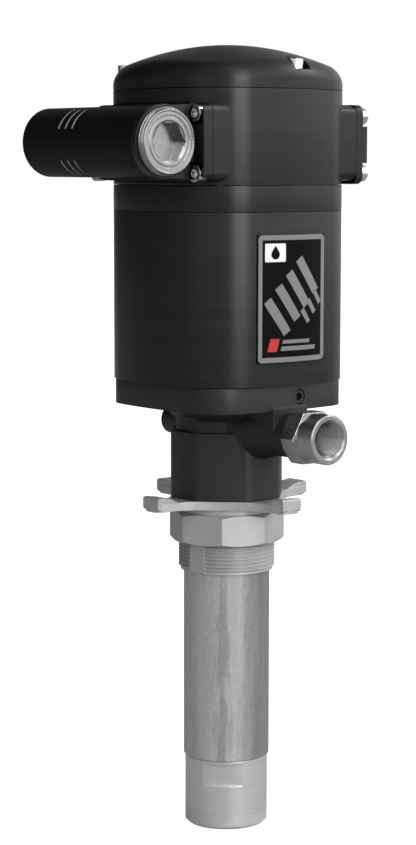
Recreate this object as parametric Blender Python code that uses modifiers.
"""Air-driven drum pump: square air motor on top, cast pump base with a side outlet, bung adapter
with a four-lug clamp ring, and a suction tube with a ball foot valve. The working parts inside are
pieces too.

Frame: +Z is up, and Z = 0 is the plane of the open foot end. The origin is under the middle of the
pump's overall footprint. Every shape is drawn about the pump axis and parented to an empty on it.
+X is the side of the outlet and the data plate, -Y the exhaust and its silencer, +Y the air inlet.
Sizes are in millimetres and are turned into metres where a shape is made.
"""

import math

import bmesh
import bpy
from mathutils import Matrix, Vector

for old in list(bpy.data.objects):
    bpy.data.objects.remove(old, do_unlink=True)

MM = 0.001
GAP = 0.3                       # air left between neighbouring pieces
OVERRUN = 5.0                   # how far many cutters start or end beyond a face
AXIS_X, AXIS_Y = -12.15, 18.54  # the pump axis, seen from the middle of the footprint

# heights along the pump axis
FOOT_TOP = 42.7
TUBE_BOTTOM = FOOT_TOP + GAP
TUBE_TOP = 231.5
THREAD_BOTTOM = 160.0           # 2 inch bung thread
NUT_BOTTOM, NUT_TOP = 178.0, 197.0
RING_BOTTOM = 200.4
COLUMN_BOTTOM = 205.9
COLUMN_TOP = 246.8              # above it a narrower neck carries the flange
FLANGE_BOTTOM, FLANGE_TOP = 262.3, 277.6
HEAD_BOTTOM, HEAD_TOP = 379.8, 395.2
VALVE_Z = 420.0                 # air valve, exhaust plug and silencer
HOUSING_TOP = 451.2

# plan of the motor: a rounded square whose faces are slightly crowned
BODY_HALF, BODY_CORNER_R, CROWN = 60.35, 39.0, 2.2
BODY_FLAT = BODY_HALF - BODY_CORNER_R
FLANGE_HALF, FLANGE_CORNER_R = 54.85, 22.0

# radii that several pieces share
TUBE_R, TUBE_BORE_R = 26.5, 22.8
ROD_R = 8.0
CYLINDER_BORE_R = 45.5
GLAND_R = 11.0
SLEEVE_BORE_R = 13.8

# screws, bolts and pilot pins
SCREW_HOLE_R = 3.2
TIE_HOLE_R = 3.4
TIE_PITCH = 41.5                # the tie bolts stand at plus and minus this in X and Y
TIE_PLACES = [(x, y) for x in (TIE_PITCH, -TIE_PITCH) for y in (TIE_PITCH, -TIE_PITCH)]
TIE_SEAT, TIE_TIP, TIE_HOLE_TOP = 268.7, 438.0, 440.0
PORT_SCREW_X = 46.7
PORT_SCREWS = [(x, z) for x in (PORT_SCREW_X, -PORT_SCREW_X) for z in (402.1, 436.4)]
LID_SCREWS = (                  # x, y, height of the pocket floor
    (54.0, 5.5, 462.6),
    (-43.5, -43.5, 460.4),
    (-43.5, 43.5, 460.4),
)
PILOT_X = 22.0
PILOT_HOLE_R = 3.4

# port pads on the valve housing, and what is screwed to them
PAD_HALF_X = 53.4
PAD_BOTTOM, PAD_TOP = 397.6, 442.3
PAD_FACE = 56.5                 # distance of each pad face from the axis
PAD_ROOT = 30.0                 # where the pads start inside the housing
PAD_CORNER_R = 5.0
EXHAUST_FACE, INLET_FACE = 63.1, 65.6
INLET_BOTTOM, INLET_TOP = PAD_BOTTOM - 2.0, PAD_TOP + 0.8
EXHAUST_NOTCH_Y, INLET_NOTCH_Y = 58.6, 62.0   # floors of the screw notches


# ---------------------------------------------------------------- collections and materials
def collection(name):
    made = bpy.data.collections.new(name)
    bpy.context.scene.collection.children.link(made)
    return made


PARTS = collection("drum_barrel_pump")
CUTTERS = collection("drum_barrel_pump_cutters")

PUMP_AXIS = bpy.data.objects.new("pump_axis", None)
PUMP_AXIS.location = Vector((AXIS_X, AXIS_Y, 0)) * MM
PARTS.objects.link(PUMP_AXIS)


def surface(name, colour, roughness, metallic):
    made = bpy.data.materials.new(name)
    made.use_nodes = True
    shader = made.node_tree.nodes["Principled BSDF"]
    shader.inputs["Base Color"].default_value = (*colour, 1.0)
    shader.inputs["Roughness"].default_value = roughness
    shader.inputs["Metallic"].default_value = metallic
    return made


ANODISED = surface("dark_anodised_aluminium", (0.035, 0.036, 0.038), roughness=0.42, metallic=0.7)
PAINTED = surface("black_painted_casting", (0.022, 0.022, 0.023), roughness=0.5, metallic=0.0)
ZINC = surface("zinc_casting", (0.5, 0.5, 0.5), roughness=0.45, metallic=0.9)
STEEL = surface("machined_steel", (0.42, 0.42, 0.43), roughness=0.35, metallic=1.0)
BRIGHT = surface("bright_plated_steel", (0.7, 0.7, 0.71), roughness=0.2, metallic=1.0)
GALVANISED = surface("galvanised_tube", (0.38, 0.39, 0.39), roughness=0.45, metallic=0.9)
PLASTIC = surface("black_moulded_plastic", (0.012, 0.012, 0.012), roughness=0.45, metallic=0.0)
RUBBER = surface("black_rubber", (0.02, 0.02, 0.02), roughness=0.7, metallic=0.0)
FELT = surface("silencer_felt", (0.45, 0.45, 0.43), roughness=0.95, metallic=0.0)
PRINTED = surface("printed_plate", (0.02, 0.02, 0.02), roughness=0.4, metallic=0.0)
BRONZE = surface("bearing_bronze", (0.55, 0.38, 0.16), roughness=0.35, metallic=1.0)


# ---------------------------------------------------------------- shape builders
# A shape made without a material is a helper for a boolean, hidden from renders.
def place(name, mesh, material, location):
    obj = bpy.data.objects.new(name, mesh)
    obj.location = Vector(location) * MM
    obj.parent = PUMP_AXIS
    if material is None:
        CUTTERS.objects.link(obj)
        obj.hide_render = True
        obj.display_type = "WIRE"
    else:
        PARTS.objects.link(obj)
        mesh.materials.append(material)
    return obj


def to_mesh(name, bm):
    mesh = bpy.data.meshes.new(name)
    bm.to_mesh(mesh)
    bm.free()
    return mesh


def smooth(mesh, degrees):
    mesh.shade_smooth()
    mesh.set_sharp_from_angle(angle=math.radians(degrees))


def block(name, size, centre, turn=0.0):
    """A helper block about its centre, turned about Z by an angle in radians."""
    bm = bmesh.new()
    bmesh.ops.create_cube(bm, size=1.0)
    bmesh.ops.scale(bm, vec=Vector(size) * MM, verts=bm.verts)
    obj = place(name, to_mesh(name, bm), None, centre)
    obj.rotation_euler = (0, 0, turn)
    return obj


def box(name, low, high):
    """A helper block between two corners."""
    size = [b - a for a, b in zip(low, high)]
    return block(name, size, [(a + b) / 2 for a, b in zip(low, high)])


# what turns a shape drawn along +Z to each axis
TURN = {
    "X": Matrix.Rotation(math.radians(90), 4, "Y"),
    "Y": Matrix.Rotation(math.radians(-90), 4, "X"),
    "Z": Matrix.Identity(4),
}


def rod(name, radius, start, length, sides, axis="Z", material=None, end_radius=None, spin=0.0):
    """A cylinder, cone or prism from start along an axis."""
    bm = bmesh.new()
    bmesh.ops.create_cone(
        bm, cap_ends=True, cap_tris=False, segments=sides, radius1=radius * MM,
        radius2=(radius if end_radius is None else end_radius) * MM, depth=length * MM,
        matrix=TURN[axis] @ Matrix.Rotation(math.radians(spin), 4, "Z"),
    )
    mesh = to_mesh(name, bm)
    if sides > 8:
        smooth(mesh, 35)
    middle = list(start)
    middle["XYZ".index(axis)] += length / 2
    return place(name, mesh, material, middle)


def hex_radius(across_flats):
    return across_flats / math.sqrt(3)


def turned(name, profile, steps, material=None, axis="Z", location=(0, 0, 0), ring=False):
    """A profile of (radius, height) turned about an axis.

    It runs down the outer side; a ring's profile is closed.
    """
    bm = bmesh.new()
    points = [bm.verts.new((radius * MM, 0.0, height * MM)) for radius, height in profile]
    for a, b in zip(points, points[1:]):
        bm.edges.new((a, b))
    if ring:
        bm.edges.new((points[-1], points[0]))
    obj = place(name, to_mesh(name, bm), material, location)
    obj.rotation_euler = TURN[axis].to_euler()
    screw = obj.modifiers.new("turn", "SCREW")
    screw.axis = "Z"
    screw.steps = screw.render_steps = steps
    screw.use_merge_vertices = True
    screw.merge_threshold = 0.00001
    screw.use_smooth_shade = True
    screw.use_normal_calculate = False
    return obj


def sleeve(name, outer, inner, bottom, top, steps, material, **options):
    """A plain tube."""
    profile = [(outer, top), (outer, bottom), (inner, bottom), (inner, top)]
    return turned(name, profile, steps, material, ring=True, **options)


def slab(name, outline, thickness, centre, rotation=(0, 0, 0), material=None, bevel=0.0):
    """A flat outline thickened evenly to both sides of its plane, then rotated and placed."""
    curve = bpy.data.curves.new(name + "_outline", "CURVE")
    curve.dimensions = "2D"
    curve.fill_mode = "BOTH"
    curve.extrude = thickness / 2 * MM
    spline = curve.splines.new("POLY")
    spline.points.add(len(outline) - 1)
    for point, (x, y) in zip(spline.points, outline):
        point.co = (x * MM, y * MM, 0.0, 1.0)
    spline.use_cyclic_u = True
    drawn = bpy.data.objects.new(name + "_outline", curve)
    PARTS.objects.link(drawn)
    graph = bpy.context.evaluated_depsgraph_get()
    graph.update()
    mesh = bpy.data.meshes.new_from_object(drawn.evaluated_get(graph))
    bpy.data.objects.remove(drawn)
    mesh.name = name
    # the filled curve has loose caps and needless triangles: weld it and clear its flat faces
    bm = bmesh.new()
    bm.from_mesh(mesh)
    bmesh.ops.remove_doubles(bm, verts=bm.verts, dist=0.000001)
    bmesh.ops.dissolve_limit(bm, angle_limit=math.radians(0.5), verts=bm.verts, edges=bm.edges)
    bmesh.ops.recalc_face_normals(bm, faces=bm.faces)
    bm.to_mesh(mesh)
    bm.free()
    smooth(mesh, 20)
    obj = place(name, mesh, material, centre)
    obj.rotation_euler = rotation
    if bevel:
        edge = obj.modifiers.new("edges", "BEVEL")
        edge.width = bevel * MM
        edge.segments = 1
        edge.limit_method = "ANGLE"
        edge.angle_limit = math.radians(50)
    return obj


def prism(name, outline, bottom, top, material=None, bevel=0.0):
    """A plan raised from one height to another."""
    centre = (0, 0, (bottom + top) / 2)
    return slab(name, outline, top - bottom, centre, material=material, bevel=bevel)


def rounded_rectangle(x0, y0, x1, y1, radius):
    steps = 4
    corners = (
        (x1 - radius, y1 - radius, 0),
        (x0 + radius, y1 - radius, 90),
        (x0 + radius, y0 + radius, 180),
        (x1 - radius, y0 + radius, 270),
    )
    points = []
    for x, y, start in corners:
        for i in range(steps + 1):
            angle = math.radians(start + 90 * i / steps)
            points.append((x + radius * math.cos(angle), y + radius * math.sin(angle)))
    return points


def port_plate(name, z_low, z_high, y_low, y_high, material=None, bevel=0.0):
    """A plate of the port pads' width with rounded corners, seen along Y."""
    outline = rounded_rectangle(-PAD_HALF_X, z_low, PAD_HALF_X, z_high, PAD_CORNER_R)
    centre = (0, (y_low + y_high) / 2, 0)
    return slab(name, outline, y_high - y_low, centre, (math.radians(90), 0, 0), material, bevel)


def loft(name, rings, tip, material):
    """A closed body through rings with equal point counts, gathered into a tip."""
    bm = bmesh.new()
    made = [[bm.verts.new(Vector(point) * MM) for point in ring] for ring in rings]
    tip_vertex = bm.verts.new(Vector(tip) * MM)
    count = len(made[0])
    bm.faces.new(made[0][::-1])
    for low, high in zip(made, made[1:]):
        for i in range(count):
            j = (i + 1) % count
            bm.faces.new((low[i], low[j], high[j], high[i]))
    for i in range(count):
        bm.faces.new((made[-1][i], made[-1][(i + 1) % count], tip_vertex))
    bmesh.ops.recalc_face_normals(bm, faces=bm.faces)
    mesh = to_mesh(name, bm)
    smooth(mesh, 40)
    return place(name, mesh, material, (0, 0, 0))


def ball(name, radius, z):
    bm = bmesh.new()
    bmesh.ops.create_uvsphere(bm, u_segments=14, v_segments=8, radius=radius * MM)
    mesh = to_mesh(name, bm)
    smooth(mesh, 80)
    return place(name, mesh, BRIGHT, (0, 0, z))


def boolean(obj, other, operation):
    change = obj.modifiers.new(other.name, "BOOLEAN")
    change.operation = operation
    change.object = other
    change.solver = "EXACT"


def cut(obj, *others):
    for other in others:
        boolean(obj, other, "DIFFERENCE")


def join(obj, *others):
    for other in others:
        boolean(obj, other, "UNION")


def four_quarters(points):
    """Points of the +X quarter repeated at each quarter turn, anticlockwise."""
    outline = []
    for quarter in range(4):
        turn = quarter * math.pi / 2
        cos, sin = math.cos(turn), math.sin(turn)
        outline += [(x * cos - y * sin, x * sin + y * cos) for x, y in points]
    return outline


def rounded_square(half, corner_r, corner_steps):
    """Four crowned faces joined by corner arcs."""
    face_steps = 4
    flat = half - corner_r
    points = []
    for i in range(face_steps + 1):
        along = -1 + 2 * i / face_steps
        points.append((half + CROWN * (1 - along * along), flat * along))
    for i in range(1, corner_steps):
        angle = i / corner_steps * math.pi / 2
        points.append((flat + corner_r * math.cos(angle), flat + corner_r * math.sin(angle)))
    return four_quarters(points)


def cap_screw(name, seat, axis, sign, shaft, material=BRIGHT):
    """A socket head screw: seat is the middle of the face under its head, sign the head's way."""
    head_r, head_h, shaft_r = 5.0, 5.8, 2.9
    socket_r, socket_floor = 2.7, head_h - 3.0
    profile = [
        (0, socket_floor), (socket_r, socket_floor), (socket_r, head_h), (head_r, head_h),
        (head_r, 0), (shaft_r, 0), (shaft_r, -shaft), (0, -shaft),
    ]
    obj = turned(name, profile, 8, material, axis=axis, location=seat)
    if sign < 0:
        flip = Matrix.Rotation(math.pi, 4, "X" if axis == "Z" else "Z")
        obj.rotation_euler = (flip @ TURN[axis]).to_euler()


def tie_holes(tag, bottom, top):
    return [
        rod(f"{tag}_tie_hole_{i}", TIE_HOLE_R, (x, y, bottom), top - bottom, sides=10)
        for i, (x, y) in enumerate(TIE_PLACES)
    ]


def port_holes(tag, y, length, first=0):
    """Four holes for the port screws, from y towards +Y."""
    return [
        rod(f"{tag}_hole_{i}", SCREW_HOLE_R, (x, y, z), length, sides=10, axis="Y")
        for i, (x, z) in enumerate(PORT_SCREWS, first)
    ]


def notch_span(screw, middle, inward):
    """From a margin on the inner side of a screw to well beyond it, away from the middle."""
    reach = 20.0
    if screw > middle:
        return screw - inward, screw + reach
    return screw - reach, screw + inward


NOTCH_INWARD_Z = 6.2

# ---------------------------------------------------------------- air motor shells
BODY_OUTLINE = rounded_square(BODY_HALF, BODY_CORNER_R, corner_steps=6)
BODY_BEVEL = 0.5

motor_cylinder = prism("motor_cylinder", BODY_OUTLINE, FLANGE_TOP + GAP, HEAD_BOTTOM - GAP / 2,
                       ANODISED, BODY_BEVEL)
cut(motor_cylinder,
    rod("cylinder_bore", CYLINDER_BORE_R, (0, 0, FLANGE_TOP - OVERRUN), 120, sides=40),
    *tie_holes("cylinder", FLANGE_TOP - OVERRUN, HEAD_BOTTOM + OVERRUN))

cylinder_head = prism("cylinder_head", BODY_OUTLINE, HEAD_BOTTOM + GAP / 2, HEAD_TOP - GAP / 2,
                      ANODISED, BODY_BEVEL)
cut(cylinder_head,
    rod("head_pilot_hole", PILOT_HOLE_R, (PILOT_X, 0, HEAD_BOTTOM - OVERRUN), 30, sides=10),
    rod("head_spring_hole", 6.0, (PILOT_X, 0, HEAD_BOTTOM + 6), 20, sides=12),
    *tie_holes("head", HEAD_BOTTOM - OVERRUN, HEAD_TOP + OVERRUN))

CHAMBER_R = 34.0
RECESS_MARGIN = 0.6             # the recesses reach this far round what stands in them
RECESS_OVERLAP = 0.01           # keeps the recess floor off the pad face by a hair
RECESS_X = PAD_HALF_X + RECESS_MARGIN

valve_housing = prism("valve_housing", BODY_OUTLINE, HEAD_TOP + GAP / 2, HOUSING_TOP - GAP / 2,
                      ANODISED, BODY_BEVEL)
join(valve_housing,
     port_plate("exhaust_pad", PAD_BOTTOM, PAD_TOP, -PAD_FACE, -PAD_ROOT),
     port_plate("inlet_pad", PAD_BOTTOM, PAD_TOP, PAD_ROOT, PAD_FACE))
cut(valve_housing,
    box("exhaust_recess", (-RECESS_X, -90, PAD_BOTTOM - RECESS_MARGIN),
        (RECESS_X, -PAD_FACE + RECESS_OVERLAP, PAD_TOP + RECESS_MARGIN)),
    box("inlet_recess", (-RECESS_X, PAD_FACE - RECESS_OVERLAP, INLET_BOTTOM - RECESS_MARGIN),
        (RECESS_X, 90, INLET_TOP + RECESS_MARGIN)),
    rod("housing_chamber", CHAMBER_R, (0, 0, HEAD_TOP - OVERRUN), 80, sides=28),
    rod("sleeve_bore", SLEEVE_BORE_R, (0, -80, VALVE_Z), 160, sides=24, axis="Y"),
    *tie_holes("housing", HEAD_TOP - OVERRUN, TIE_HOLE_TOP),
    *port_holes("housing_port", -60.0, 22.0),
    *port_holes("housing_port", 38.0, 22.0, first=4),
    *[rod(f"housing_lid_hole_{i}", SCREW_HOLE_R, (x, y, 442.5), 20.0, sides=10)
      for i, (x, y, _) in enumerate(LID_SCREWS)])

# ---------------------------------------------------------------- lid: body plan under a dome
DOME_TOP = 478.4
DOME_CURVE_R = 150.0
SHOULDER_R = 8.0                # rounding where the lid's sides turn into its dome
SHOULDER_STEPS, DOME_STEPS = 3, 2
LID_HOLLOW_R = 40.0
LID_POCKET_R, LID_POCKET_REACH = 6.6, 30.0
LID_SCREW_TIP = 444.5


def dome_height(x, y):
    return DOME_TOP - (x * x + y * y) / (2 * DOME_CURVE_R)


lid_rings = [[(x, y, HOUSING_TOP + GAP / 2) for x, y in BODY_OUTLINE]]
for i in range(SHOULDER_STEPS + 1):
    angle = i / SHOULDER_STEPS * math.pi / 2
    inward, drop = SHOULDER_R * (1 - math.cos(angle)), SHOULDER_R * (1 - math.sin(angle))
    shoulder = []
    for x, y in BODY_OUTLINE:
        scale = 1 - inward / math.hypot(x, y)
        shoulder.append((x * scale, y * scale, dome_height(x * scale, y * scale) - drop))
    lid_rings.append(shoulder)
for i in range(1, DOME_STEPS + 1):
    scale = 1 - i / (DOME_STEPS + 1)
    lid_rings.append([(x * scale, y * scale, dome_height(x * scale, y * scale))
                      for x, y, _ in shoulder])
motor_lid = loft("motor_lid", lid_rings, (0, 0, DOME_TOP), ANODISED)
cut(motor_lid, rod("lid_hollow", LID_HOLLOW_R, (0, 0, HOUSING_TOP - 2), 12.0, sides=28))

for i, (x, y, seat) in enumerate(LID_SCREWS):
    # a round pocket, opened outwards through the side of the lid
    half_reach = LID_POCKET_REACH / 2
    outward = Vector((x, y)).normalized() * half_reach
    cut(motor_lid,
        rod(f"lid_pocket_{i}", LID_POCKET_R, (x, y, seat), LID_POCKET_REACH, sides=16),
        block(f"lid_pocket_mouth_{i}", (LID_POCKET_REACH, 2 * LID_POCKET_R, LID_POCKET_REACH),
              (x + outward.x, y + outward.y, seat + half_reach), math.atan2(y, x)),
        rod(f"lid_hole_{i}", SCREW_HOLE_R, (x, y, 440.0), 40.0, sides=10))
    cap_screw(f"lid_screw_{i + 1}", (x, y, seat + GAP), "Z", 1, shaft=seat - LID_SCREW_TIP)

# ---------------------------------------------------------------- cast pump base
COLUMN_HALF, COLUMN_LEG = 35.0, 23.0  # half width, and the leg of each corner cut
COLUMN_NIP = 2.4                      # small cut at each corner of the octagon
NECK_GROW = -3.5
CORNER_FOLLOW = 0.42                  # share of the growth by which the faces lengthen

OUTLET_Z = 248.0
OUTLET_BOSS_R, OUTLET_BOSS_START, OUTLET_BOSS_END = 13.6, 10.0, 66.0
FAIRING_R, FAIRING_START, FAIRING_LENGTH = 21.8, 12.0, 38.0
WEB_END, WEB_HALF = 58.0, OUTLET_BOSS_R - 0.2
BLANK_BOSS_R, BLANK_BOSS_Z, BLANK_BOSS_END = 9.2, 247.8, 53.0
SIDE_PLUG_Y, SIDE_PLUG_Z, SIDE_PLUG_FACE = 8.0, 269.9, 56.6
TUBE_SOCKET_BOTTOM, TUBE_SOCKET_TOP = COLUMN_BOTTOM - 3, 232.0
TIE_HEAD_HOLE_BOTTOM = FLANGE_BOTTOM - 1


def column_plan(grow=0.0):
    """Eight faces with their corners cut."""
    far = COLUMN_HALF + grow
    near = COLUMN_HALF - COLUMN_LEG + grow * CORNER_FOLLOW
    corners = [Vector(corner) for corner in (
        (far, -near), (far, near), (near, far), (-near, far),
        (-far, near), (-far, -near), (-near, -far), (near, -far))]
    outline = []
    for i, corner in enumerate(corners):
        for other in (corners[i - 1], corners[(i + 1) % 8]):
            outline.append(tuple(corner + (other - corner).normalized() * COLUMN_NIP))
    return outline


def outlet_rod(name, radius, start_x, length, sides, **options):
    """A rod on the outlet's axis, along +X."""
    return rod(name, radius, (start_x, 0, OUTLET_Z), length, sides, axis="X", **options)


pump_base = prism("pump_base", rounded_square(FLANGE_HALF, FLANGE_CORNER_R, corner_steps=4),
                  FLANGE_BOTTOM, FLANGE_TOP, PAINTED, bevel=0.6)
join(pump_base,
     prism("base_column", column_plan(), COLUMN_BOTTOM, COLUMN_TOP),
     prism("base_neck", column_plan(NECK_GROW), 240.0, FLANGE_BOTTOM + 4),
     rod("base_flare", 32.6, (0, 0, 254.0), 10.0, sides=8, end_radius=43.5, spin=22.5),
     outlet_rod("outlet_boss", OUTLET_BOSS_R, OUTLET_BOSS_START,
                OUTLET_BOSS_END - OUTLET_BOSS_START, sides=24),
     box("outlet_web", (OUTLET_BOSS_START, -WEB_HALF, OUTLET_Z),
         (WEB_END, WEB_HALF, FLANGE_BOTTOM + 2)),
     outlet_rod("outlet_fairing", FAIRING_R, FAIRING_START, FAIRING_LENGTH, sides=24,
                end_radius=OUTLET_BOSS_R),
     rod("blank_boss", BLANK_BOSS_R, (-BLANK_BOSS_END, 0, BLANK_BOSS_Z), 40, sides=20, axis="X"))
cut(pump_base,
    rod("tube_socket", TUBE_R + GAP, (0, 0, TUBE_SOCKET_BOTTOM),
        TUBE_SOCKET_TOP - TUBE_SOCKET_BOTTOM, sides=32),
    rod("base_chamber", 20.0, (0, 0, 228.0), 32.0, sides=24),
    rod("gland_bore", GLAND_R, (0, 0, 255.0), 30.0, sides=24),
    outlet_rod("outlet_passage", 9.0, 8, 70.0, sides=16),
    outlet_rod("outlet_socket", 11.4, 49, 30.0, sides=16),
    rod("base_pilot_hole", PILOT_HOLE_R, (PILOT_X, 0, 265.5), 20.0, sides=10),
    rod("side_plug_hole", 4.6, (47, SIDE_PLUG_Y, SIDE_PLUG_Z), 20.0, sides=12, axis="X"),
    *tie_holes("base", FLANGE_BOTTOM - OVERRUN, FLANGE_TOP + OVERRUN),
    *[rod(f"tie_head_hole_{i}", 5.6, (x, y, TIE_HEAD_HOLE_BOTTOM),
          TIE_SEAT - TIE_HEAD_HOLE_BOTTOM, sides=12)
      for i, (x, y) in enumerate(TIE_PLACES)])

# the tie bolts' heads point down, into the underside of the flange
tie_head_z = TIE_SEAT - GAP
for i, (x, y) in enumerate(TIE_PLACES, 1):
    cap_screw(f"tie_bolt_{i}", (x, y, tie_head_z), "Z", -1, TIE_TIP - tie_head_z, STEEL)

SIDE_PLUG_PROFILE = [           # radius, distance along X from the plug's face
    (0, -4.2), (2.4, -4.2), (2.4, 0), (3.9, 0), (4.3, -0.5), (4.3, -7.5), (0, -7.5),
]
turned("side_plug", SIDE_PLUG_PROFILE, 14, PAINTED, axis="X",
       location=(SIDE_PLUG_FACE, SIDE_PLUG_Y, SIDE_PLUG_Z))
sleeve("rod_bushing", GLAND_R - GAP, ROD_R + GAP, 262.6, 269.6, 24, BRONZE)
sleeve("rod_seal", GLAND_R - GAP, ROD_R + GAP, 270.0, 277.2, 24, RUBBER)

# ---------------------------------------------------------------- outlet adapter
OUTLET_END = 92.3
OUTLET_R, OUTLET_THREAD_R = 14.75, 10.5   # 1/2 inch pipe thread
OUTLET_HEX_AF = 30.0
OUTLET_HEX_START, OUTLET_HEX_END = 67.6, 79.0
ADAPTER_PROFILE = [             # radius, x
    (9.8, OUTLET_END), (OUTLET_R - 0.6, OUTLET_END), (OUTLET_R, OUTLET_END - 0.6),
    (OUTLET_R, OUTLET_HEX_END), (OUTLET_R, 66.4), (11.0, 66.4), (11.0, 50.4), (8.0, 50.4),
    (8.0, 67.0), (9.8, 67.0),
]
HEX_CHAMFER_PROFILE = [         # radius, x
    (0, 79.6), (15.4, 79.6), (18.0, 78.0), (18.0, 69.0), (15.4, 67.2), (0, 67.2),
]
outlet_place = (0, 0, OUTLET_Z)
outlet_adapter = turned("outlet_adapter", ADAPTER_PROFILE, 24, BRIGHT, axis="X",
                        location=outlet_place, ring=True)
hexagon = outlet_rod("outlet_hexagon", hex_radius(OUTLET_HEX_AF), OUTLET_HEX_START,
                     OUTLET_HEX_END - OUTLET_HEX_START, sides=6)
hex_chamfer = turned("outlet_hex_chamfer", HEX_CHAMFER_PROFILE, 24, axis="X",
                     location=outlet_place)
boolean(hexagon, hex_chamfer, "INTERSECT")
join(outlet_adapter, hexagon)
cut(outlet_adapter,
    outlet_rod("outlet_clear_bore", 8.6, 45, 60, sides=16),
    outlet_rod("outlet_thread_bore", OUTLET_THREAD_R, 68.4, 40, sides=16))

# ---------------------------------------------------------------- air motor inside
# rod and pistons are drawn at the top of the stroke
PISTON_BOTTOM, PISTON_TOP, PISTON_R = 358.0, 376.0, 44.8
PISTON_GROOVE_BOTTOM, PISTON_GROOVE_TOP, PISTON_GROOVE_R = 364.0, 370.0, 40.5
PISTON_BORE_R = 6.5
NUT_RECESS_R, NUT_SEAT, PISTON_NUT_AF = 13.8, 367.0, 19.0
PLUNGER_BOTTOM, PLUNGER_TOP, PLUNGER_R = 146.0, 177.0, 21.8

PISTON_PROFILE = [              # radius, z
    (PISTON_BORE_R, NUT_SEAT), (NUT_RECESS_R, NUT_SEAT), (NUT_RECESS_R, PISTON_TOP),
    (PISTON_R - 1, PISTON_TOP), (PISTON_R, PISTON_TOP - 1), (PISTON_R, PISTON_GROOVE_TOP),
    (PISTON_GROOVE_R, PISTON_GROOVE_TOP), (PISTON_GROOVE_R, PISTON_GROOVE_BOTTOM),
    (PISTON_R, PISTON_GROOVE_BOTTOM), (PISTON_R, PISTON_BOTTOM), (PISTON_BORE_R, PISTON_BOTTOM),
]
turned("motor_piston", PISTON_PROFILE, 32, ANODISED, ring=True)
sleeve("piston_seal", CYLINDER_BORE_R - GAP, PISTON_GROOVE_R + GAP,
       PISTON_GROOVE_BOTTOM + GAP, PISTON_GROOVE_TOP - GAP, 32, RUBBER)
piston_nut = rod("piston_nut", hex_radius(PISTON_NUT_AF), (0, 0, NUT_SEAT + GAP), 8.2, sides=6,
                 material=STEEL)
cut(piston_nut, rod("piston_nut_bore", PISTON_BORE_R, (0, 0, 360), 20, sides=12))

ROD_END_R, ROD_END_TOP = 6.1, 375.0       # the thinner end through the piston and nut
ROD_PROFILE = [                 # radius, z
    (0, ROD_END_TOP), (ROD_END_R, ROD_END_TOP), (ROD_END_R, PISTON_BOTTOM - GAP),
    (ROD_R, PISTON_BOTTOM - GAP), (ROD_R, PLUNGER_TOP + GAP), (0, PLUNGER_TOP + GAP),
]
turned("piston_rod", ROD_PROFILE, 16, STEEL)

UPPER_PILOT_PROFILE = [         # radius, z
    (0, 393.0), (2.2, 393.0), (2.2, 387.6), (4.6, 387.6), (4.6, 386.2), (3.0, 386.2),
    (3.0, 377.2), (0, 377.2),
]
LOWER_PILOT_PROFILE = [(0, 281.6), (3.0, 281.6), (3.0, 271.2), (0, 271.2)]
turned("upper_pilot_pin", UPPER_PILOT_PROFILE, 10, STEEL, location=(PILOT_X, 0, 0))
turned("lower_pilot_pin", LOWER_PILOT_PROFILE, 10, STEEL, location=(PILOT_X, 0, 0))

# ---------------------------------------------------------------- air valve
SLEEVE_HALF, SLEEVE_INNER_R = 52.0, 9.4
SPOOL_STOP_START, SPOOL_STOP_LENGTH = 45.6, 6.0
SPOOL_R, SPOOL_WAIST_R = 9.0, 5.5
SPOOL_PROFILE = [               # radius, y: three lands and two waists
    (0, 38), (SPOOL_R, 38), (SPOOL_R, 26), (SPOOL_WAIST_R, 26), (SPOOL_WAIST_R, 8),
    (SPOOL_R, 8), (SPOOL_R, -8), (SPOOL_WAIST_R, -8), (SPOOL_WAIST_R, -26),
    (SPOOL_R, -26), (SPOOL_R, -38), (0, -38),
]
along_valve = {"axis": "Y", "location": (0, 0, VALVE_Z)}
sleeve("valve_sleeve", SLEEVE_BORE_R - GAP, SLEEVE_INNER_R, -SLEEVE_HALF, SLEEVE_HALF, 24, STEEL,
       **along_valve)
turned("valve_spool", SPOOL_PROFILE, 16, BRIGHT, **along_valve)
for side, start in (("inlet", SPOOL_STOP_START),
                    ("exhaust", -SPOOL_STOP_START - SPOOL_STOP_LENGTH)):
    sleeve(f"spool_stop_{side}", SPOOL_R, 3.0, start, start + SPOOL_STOP_LENGTH, 16, BRONZE,
           **along_valve)

# ---------------------------------------------------------------- exhaust manifold
EXHAUST_Y = -84.0               # plug and silencer share an axis along X at this Y
COLLAR_R, COLLAR_LEFT, COLLAR_RIGHT = 21.18, 40.0, 43.9
COLLAR_ARC_START, COLLAR_ARC_END, COLLAR_ARC_STEPS = 78, 282, 12   # degrees from +Y
CHANNEL_HALF, CHANNEL_RIGHT = 7.0, 42.2
CHANNEL_BOTTOM, CHANNEL_TOP = VALVE_Z - CHANNEL_HALF, VALVE_Z + CHANNEL_HALF


def exhaust_rod(name, radius, start_x, length, sides, **options):
    """A rod on the exhaust axis, along +X."""
    return rod(name, radius, (start_x, EXHAUST_Y, VALVE_Z), length, sides, axis="X", **options)


exhaust_manifold = port_plate("exhaust_manifold", PAD_BOTTOM, PAD_TOP, -EXHAUST_FACE,
                              -PAD_FACE - GAP, ANODISED, bevel=0.8)
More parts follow.
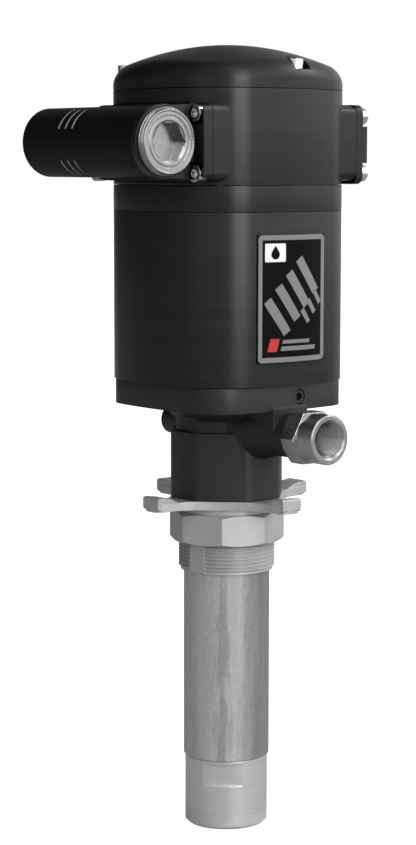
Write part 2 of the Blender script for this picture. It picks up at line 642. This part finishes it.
# the collar round silencer and plug, drawn in Y and Z: round towards -Y, widening to the plate
collar_outline = [(-60.0, PAD_TOP - 0.6), (-64.0, PAD_TOP - 0.9)]
for i in range(COLLAR_ARC_STEPS + 1):
    angle = math.radians(
        COLLAR_ARC_START + i * (COLLAR_ARC_END - COLLAR_ARC_START) / COLLAR_ARC_STEPS)
    collar_outline.append((EXHAUST_Y + COLLAR_R * math.cos(angle),
                           VALVE_Z + COLLAR_R * math.sin(angle)))
collar_outline += [(-64.0, PAD_BOTTOM + 0.9), (-60.0, PAD_BOTTOM + 0.6)]
yz_to_plane = Matrix(((0, 0, 1), (1, 0, 0), (0, 1, 0))).to_euler()
manifold_collar = slab("manifold_collar", collar_outline, COLLAR_RIGHT - COLLAR_LEFT,
                       ((COLLAR_LEFT + COLLAR_RIGHT) / 2, 0, 0), yz_to_plane, bevel=0.9)
join(exhaust_manifold, manifold_collar,
     exhaust_rod("manifold_spigot", 18.2, 18.0, 23.5, sides=22))


def manifold_notch(i, x, z):
    half_x = 5.4
    z_low, z_high = notch_span(z, VALVE_Z, NOTCH_INWARD_Z)
    return box(f"manifold_notch_{i}", (x - half_x, -66, z_low),
               (x + half_x, -EXHAUST_NOTCH_Y, z_high))


cut(exhaust_manifold,
    exhaust_rod("manifold_bore", 15.5, 0, 60.0, sides=20),
    exhaust_rod("manifold_plug_bore", 17.1, 40.3, 20.0, sides=20),
    box("manifold_channel", (-7, -60.6, CHANNEL_BOTTOM), (CHANNEL_RIGHT, -50, CHANNEL_TOP)),
    box("manifold_port", (40.7, -74, CHANNEL_BOTTOM), (CHANNEL_RIGHT, -58, CHANNEL_TOP)),
    *[manifold_notch(i, x, z) for i, (x, z) in enumerate(PORT_SCREWS)],
    *port_holes("manifold", -62, 12.0))

for i, (x, z) in enumerate(PORT_SCREWS, 1):
    cap_screw(f"exhaust_screw_{i}", (x, -EXHAUST_NOTCH_Y - GAP, z), "Y", -1, shaft=14.0)
    cap_screw(f"inlet_screw_{i}", (x, INLET_NOTCH_Y + GAP, z), "Y", 1, shaft=17.0)

# ---------------------------------------------------------------- exhaust plug and silencer
PLUG_BACK, PLUG_FACE, PLUG_R = 44.3, 48.4, 19.7
PLUG_CHAMFER = 1.4
PLUG_SOCKET_AF = 21.0
PLUG_PROFILE = [                # radius, x
    (0, PLUG_FACE), (PLUG_R - PLUG_CHAMFER, PLUG_FACE), (PLUG_R, PLUG_FACE - PLUG_CHAMFER),
    (PLUG_R, PLUG_BACK), (16.5, PLUG_BACK), (16.5, 42.6), (13.4, 42.6), (13.4, 38.6), (0, 38.6),
]
exhaust_place = (0, EXHAUST_Y, VALVE_Z)
exhaust_plug = turned("exhaust_plug", PLUG_PROFILE, 22, BRIGHT, axis="X", location=exhaust_place)
cut(exhaust_plug, exhaust_rod("plug_socket", hex_radius(PLUG_SOCKET_AF), 40.6, 20.0, sides=6))

SILENCER_R, SILENCER_BORE_R = 20.5, 18.6
SILENCER_RIGHT, SILENCER_LEFT = 39.6, -68.0
SILENCER_EDGE_R, SILENCER_EDGE_STEPS = 3.0, 3
SLOT_HALF = 0.9
SLOTS_X = (-19.0, -25.5, -32.0)
SLOTS_Z = ((427.8, 445.0), (395.0, 409.4))   # bottom and top of the upper and lower slots

silencer_profile = [            # radius, x: the inside first
    (0, SILENCER_LEFT + 2.4), (17.4, SILENCER_LEFT + 2.4), (SILENCER_BORE_R, SILENCER_LEFT + 3.6),
    (SILENCER_BORE_R, SILENCER_RIGHT), (SILENCER_R, SILENCER_RIGHT),
]
for i in range(SILENCER_EDGE_STEPS + 1):
    angle = i / SILENCER_EDGE_STEPS * math.pi / 2
    silencer_profile.append((SILENCER_R - SILENCER_EDGE_R * (1 - math.cos(angle)),
                             SILENCER_LEFT + SILENCER_EDGE_R * (1 - math.sin(angle))))
silencer_profile.append((0, SILENCER_LEFT))
silencer_shell = turned("silencer_shell", silencer_profile, 28, PLASTIC, axis="X",
                        location=exhaust_place)
slots = [(x, bottom, top) for x in SLOTS_X for bottom, top in SLOTS_Z]
cut(silencer_shell, *[
    box(f"silencer_slot_{i}", (x - SLOT_HALF, -110, bottom), (x + SLOT_HALF, -58, top))
    for i, (x, bottom, top) in enumerate(slots)])
exhaust_rod("silencer_felt", 18.0, -64.0, 80.0, sides=24, material=FELT)

# ---------------------------------------------------------------- inlet side
inlet_cover = port_plate("inlet_cover", INLET_BOTTOM, INLET_TOP, PAD_FACE + GAP, INLET_FACE,
                         ANODISED, bevel=1.6)


def inlet_notch(i, x, z):
    x_low, x_high = notch_span(x, 0, 6.0)
    z_low, z_high = notch_span(z, VALVE_Z, NOTCH_INWARD_Z)
    return box(f"inlet_notch_{i}", (x_low, INLET_NOTCH_Y, z_low), (x_high, 90, z_high))


cut(inlet_cover,
    rod("inlet_port", 6.6, (0, 50, VALVE_Z), 30.0, sides=16, axis="Y"),
    *[inlet_notch(i, x, z) for i, (x, z) in enumerate(PORT_SCREWS)],
    *port_holes("inlet", 50, 20.0))

# ---------------------------------------------------------------- data plate
LABEL_Y = (-28.4, 23.6)
LABEL_Z = (291.8, 366.9)
LABEL_INNER, LABEL_OUTER = 0.35, 0.85     # distances off the motor's +X face
LABEL_STEPS = 12


def body_face_x(y):
    """X of the motor's +X face, and of the corner arcs beside it."""
    if abs(y) <= BODY_FLAT:
        return BODY_HALF + CROWN * (1 - (y / BODY_FLAT) ** 2)
    return BODY_FLAT + math.sqrt(BODY_CORNER_R ** 2 - (abs(y) - BODY_FLAT) ** 2)


label_stations = [LABEL_Y[0] + (LABEL_Y[1] - LABEL_Y[0]) * i / LABEL_STEPS
                  for i in range(LABEL_STEPS + 1)]
label_outer = [(body_face_x(y) + LABEL_OUTER, y) for y in label_stations]
label_inner = [(body_face_x(y) + LABEL_INNER, y) for y in label_stations]
prism("data_plate", label_outer + label_inner[::-1], *LABEL_Z, PRINTED)

# ---------------------------------------------------------------- bung adapter
NUT_CORNER_R = 35.3
BUNG_BORE_R = 27.2
COUNTERBORE_R, COUNTERBORE_BOTTOM = 31.3, 188.3
CLAMP_COLLAR_BOTTOM = 194.2
THREAD_R = 29.8
THREAD_FLAT_ANGLE = -79         # degrees from +X
THREAD_FLAT_OFFSET = 28.9       # distance of the flat from the axis
THREAD_FLAT_SIZE = (24, 4, 22.8)
THREAD_FLAT_Z = 166.6

BUNG_CHAMFER_PROFILE = [        # radius, z
    (0, NUT_TOP + 1), (29.8, NUT_TOP + 1), (31.8, NUT_TOP), (35.6, NUT_TOP - 2.2),
    (35.6, NUT_BOTTOM + 1.8), (32.6, NUT_BOTTOM - 0.1), (0, NUT_BOTTOM - 0.1),
]
THREAD_PROFILE = [              # radius, z
    (0, NUT_BOTTOM + 3), (THREAD_R, NUT_BOTTOM + 3), (THREAD_R, THREAD_BOTTOM + 1.4),
    (28.6, THREAD_BOTTOM), (0, THREAD_BOTTOM),
]
bung_adapter = rod("bung_adapter", NUT_CORNER_R, (0, 0, NUT_BOTTOM), NUT_TOP - NUT_BOTTOM,
                   sides=8, material=ZINC)
boolean(bung_adapter, turned("bung_chamfer", BUNG_CHAMFER_PROFILE, 32), "INTERSECT")
bung_thread = turned("bung_thread", THREAD_PROFILE, 32)
flat_angle = math.radians(THREAD_FLAT_ANGLE)
flat_middle = THREAD_FLAT_OFFSET + THREAD_FLAT_SIZE[1] / 2
cut(bung_thread, block(
    "thread_flat", THREAD_FLAT_SIZE,
    (flat_middle * math.cos(flat_angle), flat_middle * math.sin(flat_angle), THREAD_FLAT_Z),
    flat_angle + math.pi / 2))
join(bung_adapter, bung_thread)
cut(bung_adapter,
    rod("bung_bore", BUNG_BORE_R, (0, 0, THREAD_BOTTOM - OVERRUN), 60, sides=32),
    rod("bung_counterbore", COUNTERBORE_R, (0, 0, COUNTERBORE_BOTTOM), 20, sides=32))
sleeve("bung_gasket", COUNTERBORE_R - GAP, 26.9, COUNTERBORE_BOTTOM + GAP,
       CLAMP_COLLAR_BOTTOM - GAP, 32, RUBBER)

# ---------------------------------------------------------------- clamp ring
LUG_PLAN = [                    # x, y of the +X lug
    (35.4, -12.0), (46.0, -7.8), (56.0, -7.3), (59.0, -5.6), (60.0, -2.4),
    (60.0, 2.4), (59.0, 5.6), (56.0, 7.3), (46.0, 7.8), (35.4, 12.0),
]
LUG_TIP_PROFILE = [             # distance from the axis, z
    (42.5, COLUMN_BOTTOM - 1.2), (50.0, 208.2), (58.6, 209.4), (60.0, 208.2),
    (60.0, 202.6), (58.6, 201.4), (50.0, 200.9), (42.5, RING_BOTTOM + 0.8),
]
LUG_TIP_WIDTH = 14.4


def lug_tip(quarter):
    """A lug's thicker tip: stood up from its plane, then turned to its quarter."""
    stand = Matrix.Rotation(math.radians(90), 4, "X")
    rotation = (Matrix.Rotation(math.radians(quarter * 90), 4, "Z") @ stand).to_euler()
    return slab(f"lug_tip_{quarter}", LUG_TIP_PROFILE, LUG_TIP_WIDTH, (0, 0, 0), rotation)


clamp_ring = prism("clamp_ring", four_quarters(LUG_PLAN), RING_BOTTOM, COLUMN_BOTTOM - GAP, ZINC)
join(clamp_ring, *[lug_tip(quarter) for quarter in range(4)],
     rod("clamp_collar", COUNTERBORE_R - GAP, (0, 0, CLAMP_COLLAR_BOTTOM), 8.0, sides=32))
cut(clamp_ring, rod("clamp_bore", BUNG_BORE_R, (0, 0, 190), 30.0, sides=32))

# ---------------------------------------------------------------- suction tube and foot valve
FOOT_R = 25.5
FOOT_SPIGOT_R, FOOT_SPIGOT_TOP = 22.4, 58.0
FOOT_BALL_R, FOOT_SEAT_R, FOOT_BALL_Z = 12.5, 10.0, 32.0
FOOT_FLAT_OFFSET = 22.5         # half the distance across the spanner flats
FOOT_FLAT_SIZE, FOOT_FLAT_Z = (30, 40, 13.8), 34.1

TUBE_PROFILE = [                # radius, z
    (TUBE_R, TUBE_TOP), (TUBE_R, TUBE_BOTTOM + 0.6), (TUBE_R - 0.6, TUBE_BOTTOM),
    (TUBE_BORE_R, TUBE_BOTTOM), (TUBE_BORE_R, TUBE_TOP),
]
FOOT_PROFILE = [                # radius, z
    (FOOT_SPIGOT_R, FOOT_SPIGOT_TOP), (FOOT_SPIGOT_R, FOOT_TOP), (FOOT_R, FOOT_TOP),
    (FOOT_R, 1.4), (FOOT_R - 1.4, 0.0), (19.0, 0.0), (17.5, 1.5), (17.5, 15.0),
    (FOOT_SEAT_R, 19.0), (FOOT_SEAT_R, 24.0), (17.0, 27.0), (17.0, FOOT_SPIGOT_TOP),
]
turned("pump_tube", TUBE_PROFILE, 32, GALVANISED, ring=True)
foot_valve_body = turned("foot_valve_body", FOOT_PROFILE, 32, STEEL, ring=True)
for i, degrees in enumerate((-45.0, 135.0)):
    angle = math.radians(degrees)
    middle = FOOT_FLAT_OFFSET + FOOT_FLAT_SIZE[1] / 2
    cut(foot_valve_body, block(
        f"foot_flat_{i}", FOOT_FLAT_SIZE,
        (middle * math.cos(angle), middle * math.sin(angle), FOOT_FLAT_Z), angle + math.pi / 2))
ball("foot_ball", FOOT_BALL_R, FOOT_BALL_Z)
rod("foot_ball_stop", 1.5, (-16.6, 0, 52.4), 33.2, sides=10, axis="X", material=STEEL)

# ---------------------------------------------------------------- plunger
PLUNGER_BALL_R, PLUNGER_SEAT_R, PLUNGER_BALL_Z = 10.0, 8.0, 156.4
PLUNGER_GROOVE_BOTTOM, PLUNGER_GROOVE_TOP, PLUNGER_GROOVE_R = 151.0, 160.0, 18.6
PLUNGER_SEAL_R, PLUNGER_SEAL_PLAY = 22.55, 0.4   # play above and below the seal
PLUNGER_PORT_R, PLUNGER_PORT_Z = 4.5, 167.0

PLUNGER_PROFILE = [             # radius, z
    (0, PLUNGER_TOP), (PLUNGER_R, PLUNGER_TOP), (PLUNGER_R, PLUNGER_GROOVE_TOP),
    (PLUNGER_GROOVE_R, PLUNGER_GROOVE_TOP), (PLUNGER_GROOVE_R, PLUNGER_GROOVE_BOTTOM),
    (PLUNGER_R, PLUNGER_GROOVE_BOTTOM), (PLUNGER_R, PLUNGER_BOTTOM),
    (PLUNGER_SEAT_R, PLUNGER_BOTTOM), (PLUNGER_SEAT_R, 150.0), (12.5, 152.0), (12.5, 173.0),
    (0, 173.0),
]
plunger = turned("plunger", PLUNGER_PROFILE, 24, STEEL)
cut(plunger,
    rod("plunger_ports_x", PLUNGER_PORT_R, (-30, 0, PLUNGER_PORT_Z), 60.0, sides=10, axis="X"),
    rod("plunger_ports_y", PLUNGER_PORT_R, (0, -30, PLUNGER_PORT_Z), 60.0, sides=10, axis="Y"))
ball("plunger_ball", PLUNGER_BALL_R, PLUNGER_BALL_Z)
sleeve("plunger_seal", PLUNGER_SEAL_R, PLUNGER_GROOVE_R + GAP,
       PLUNGER_GROOVE_BOTTOM + PLUNGER_SEAL_PLAY, PLUNGER_GROOVE_TOP - PLUNGER_SEAL_PLAY,
       32, PLASTIC)
